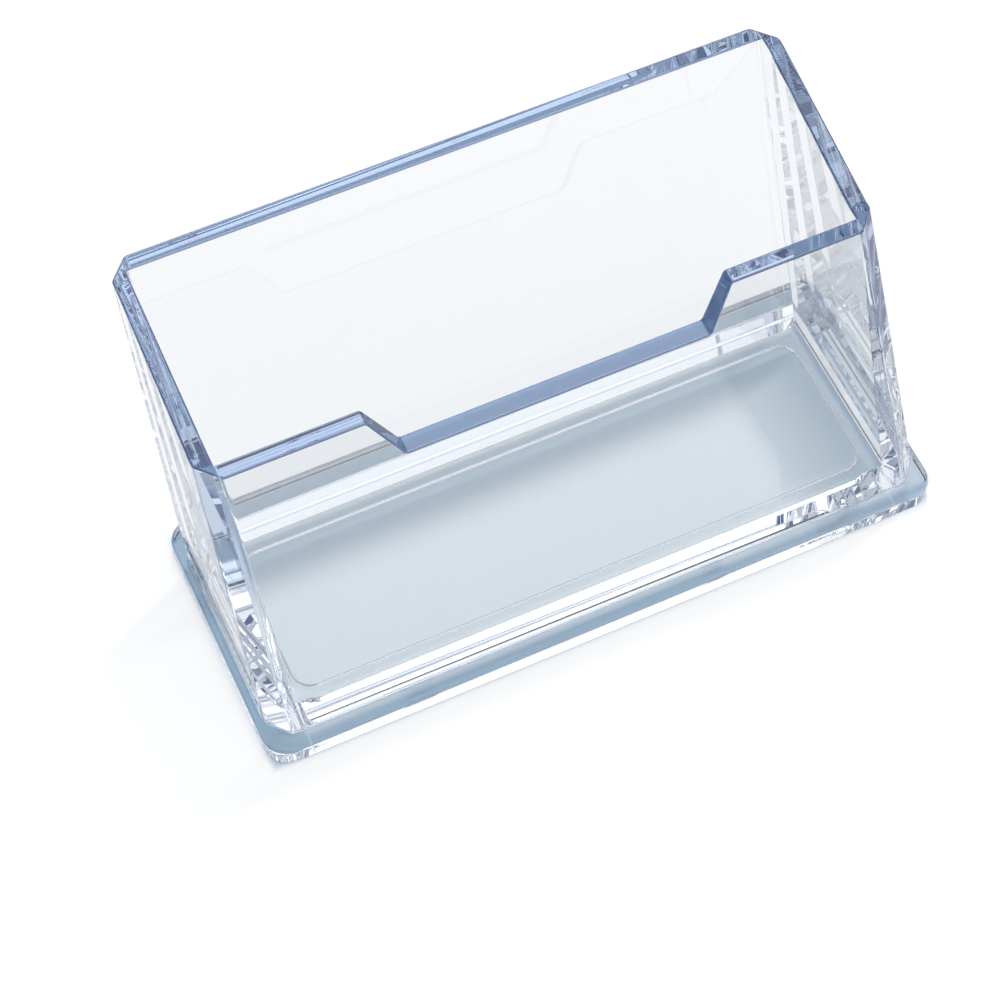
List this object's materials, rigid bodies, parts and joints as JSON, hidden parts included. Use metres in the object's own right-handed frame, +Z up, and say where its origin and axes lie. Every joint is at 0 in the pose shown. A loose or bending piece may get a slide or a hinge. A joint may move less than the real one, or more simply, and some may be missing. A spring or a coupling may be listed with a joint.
{
  "type": "business card stand",
  "caption": "Clear plastic desk stand for business cards: an open pocket leaning back on a ledged base plate, with sloping sides and a flared thumb notch in the lower front wall.",
  "frame": {"origin": "on the table, under the middle of the whole stand", "axes": "+X along the card, to the right seen from the front; +Y from the front wall to the back wall; +Z up"},
  "size_m": [0.1032, 0.0558, 0.0465],
  "materials": {
    "clear_plastic": "polished, clear with a faint blue tint"
  },
  "bodies": {
    "root": {"base_plate": "clear_plastic", "back_panel": "clear_plastic", "front_panel": "clear_plastic", "left_side_panel": "clear_plastic", "right_side_panel": "clear_plastic"}
  },
  "joints": []
}
